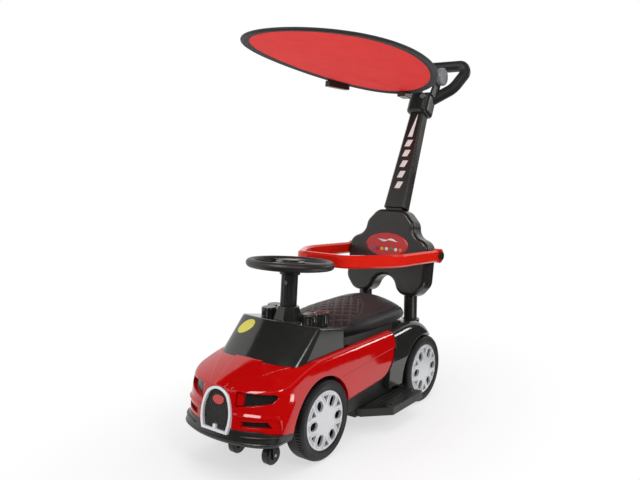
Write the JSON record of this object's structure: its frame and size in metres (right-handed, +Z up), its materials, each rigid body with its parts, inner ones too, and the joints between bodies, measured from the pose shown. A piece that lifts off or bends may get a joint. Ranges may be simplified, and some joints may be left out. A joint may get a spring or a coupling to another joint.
{
  "type": "push car",
  "caption": "Ride-on toy push car with a steering wheel, guard rail, backrest, parent push handle and a tilting oval sun canopy.",
  "frame": {"origin": "on the floor, under the middle of the whole object", "axes": "+Z up, +Y to the rear of the car, +X to the rider's left"},
  "size_m": [0.352, 0.8924, 0.8315],
  "materials": {
    "red_abs": "gloss",
    "gloss_black_abs": "gloss",
    "black_pp": "satin",
    "tyre_black_pp": "matt",
    "silver_abs": "satin metallic",
    "bright_abs": "bright plated",
    "zinc_steel": "zinc",
    "quilted_leatherette": "satin",
    "red_cloth": "woven",
    "black_binding": "woven",
    "grey_abs": "satin"
  },
  "bodies": {
    "chassis": {"axle_push_nuts": "zinc_steel", "backrest_front_shell": "black_pp", "backrest_legs": "black_pp", "backrest_rear_shell": "black_pp", "body_shell": "red_abs", "canopy_bracket": "black_pp", "chassis_tub": "black_pp", "collar_bolt": "zinc_steel", "floor_screws": "zinc_steel", "footrest_tray": "black_pp", "front_axle": "zinc_steel", "front_lip": "black_pp", "grille_mesh": "black_pp", "grille_surround": "bright_abs", "handle_collar": "black_pp", "handle_loop": "black_pp", "headlight_inserts": "black_pp", "intake_inserts": "black_pp", "push_pole": "black_pp", "rail_bolt_caps": "black_pp", "rail_bolts": "zinc_steel", "rear_axle": "zinc_steel", "rear_shell": "gloss_black_abs", "seat_hinge_pin": "zinc_steel", "tilt_pin": "zinc_steel", "wheel_spacers": "black_pp", "windscreen_cowl": "gloss_black_abs"},
    "front_left_wheel": {"front_left_tyre": "tyre_black_pp", "front_left_hub_cap": "silver_abs"},
    "front_right_wheel": {"front_right_tyre": "tyre_black_pp", "front_right_hub_cap": "silver_abs"},
    "rear_left_wheel": {"rear_left_tyre": "tyre_black_pp", "rear_left_hub_cap": "silver_abs"},
    "rear_right_wheel": {"rear_right_tyre": "tyre_black_pp", "rear_right_hub_cap": "silver_abs"},
    "left_caster": {"left_caster_fork": "black_pp", "left_caster_pin": "zinc_steel"},
    "left_caster_roller": {"left_caster_wheel": "black_pp"},
    "left_footrest_plate": {"left_footrest": "black_pp"},
    "right_caster": {"right_caster_fork": "black_pp", "right_caster_pin": "zinc_steel"},
    "right_caster_roller": {"right_caster_wheel": "black_pp"},
    "right_footrest_plate": {"right_footrest": "black_pp"},
    "steering": {"steering_wheel": "black_pp", "steering_column": "black_pp", "column_screw": "zinc_steel", "shaft_clip": "zinc_steel"},
    "horn": {"horn_button": "black_pp"},
    "seat": {"seat_lid": "black_pp", "seat_pad": "quilted_leatherette"},
    "rail": {"guard_rail": "red_abs"},
    "canopy": {"canopy_arm": "black_pp", "canopy_binding": "black_binding", "canopy_cloth": "red_cloth", "canopy_hoop_clip": "black_pp"},
    "knob": {"tilt_knob": "grey_abs"}
  },
  "joints": [
    {"name": "front_left_wheel_spin", "type": "hinge", "parent": "chassis", "child": "front_left_wheel", "pos_m": [0.1, -0.26325, 0.0815], "axis": [1, 0, 0], "continuous": true},
    {"name": "front_right_wheel_spin", "type": "hinge", "parent": "chassis", "child": "front_right_wheel", "pos_m": [-0.1, -0.26325, 0.0815], "axis": [1, 0, 0], "continuous": true},
    {"name": "rear_left_wheel_spin", "type": "hinge", "parent": "chassis", "child": "rear_left_wheel", "pos_m": [0.1, 0.13475, 0.08], "axis": [1, 0, 0], "continuous": true},
    {"name": "rear_right_wheel_spin", "type": "hinge", "parent": "chassis", "child": "rear_right_wheel", "pos_m": [-0.1, 0.13475, 0.08], "axis": [1, 0, 0], "continuous": true},
    {"name": "left_caster_swivel", "type": "hinge", "parent": "chassis", "child": "left_caster", "pos_m": [0.044, -0.35025, 0.06], "axis": [0, 0, 1], "continuous": true},
    {"name": "left_caster_roll", "type": "hinge", "parent": "left_caster", "child": "left_caster_roller", "pos_m": [0.044, -0.33825, 0.02], "axis": [1, 0, 0], "continuous": true},
    {"name": "left_footrest_slide", "type": "slide", "parent": "chassis", "child": "left_footrest_plate", "axis": [-1, 0, 0], "range_m": [0, 0.05]},
    {"name": "right_caster_swivel", "type": "hinge", "parent": "chassis", "child": "right_caster", "pos_m": [-0.044, -0.35025, 0.06], "axis": [0, 0, 1], "continuous": true},
    {"name": "right_caster_roll", "type": "hinge", "parent": "right_caster", "child": "right_caster_roller", "pos_m": [-0.044, -0.33825, 0.02], "axis": [1, 0, 0], "continuous": true},
    {"name": "right_footrest_slide", "type": "slide", "parent": "chassis", "child": "right_footrest_plate", "axis": [1, 0, 0], "range_m": [0, 0.05]},
    {"name": "steering_turn", "type": "hinge", "parent": "chassis", "child": "steering", "pos_m": [0, -0.22125, 0.371], "axis": [0, 0.0872, 0.9962], "range_deg": [-45, 45]},
    {"name": "horn_press", "type": "slide", "parent": "steering", "child": "horn", "axis": [0, -0.0872, -0.9962], "range_m": [0, 0.003], "stiffness_N_per_m": 500, "springref_m": -0.001},
    {"name": "seat_lid_hinge", "type": "hinge", "parent": "chassis", "child": "seat", "pos_m": [0, -0.17125, 0.238], "axis": [1, 0, 0], "range_deg": [0, 35]},
    {"name": "guard_rail_lift", "type": "hinge", "parent": "chassis", "child": "rail", "pos_m": [0, 0.18775, 0.347], "axis": [-1, 0, 0], "range_deg": [0, 90]},
    {"name": "canopy_tilt", "type": "hinge", "parent": "chassis", "child": "canopy", "pos_m": [0, 0.35475, 0.784], "axis": [-1, 0, 0], "range_deg": [-10, 25]},
    {"name": "tilt_knob_turn", "type": "hinge", "parent": "chassis", "child": "knob", "pos_m": [0.038, 0.35475, 0.784], "axis": [1, 0, 0], "continuous": true}
  ]
}
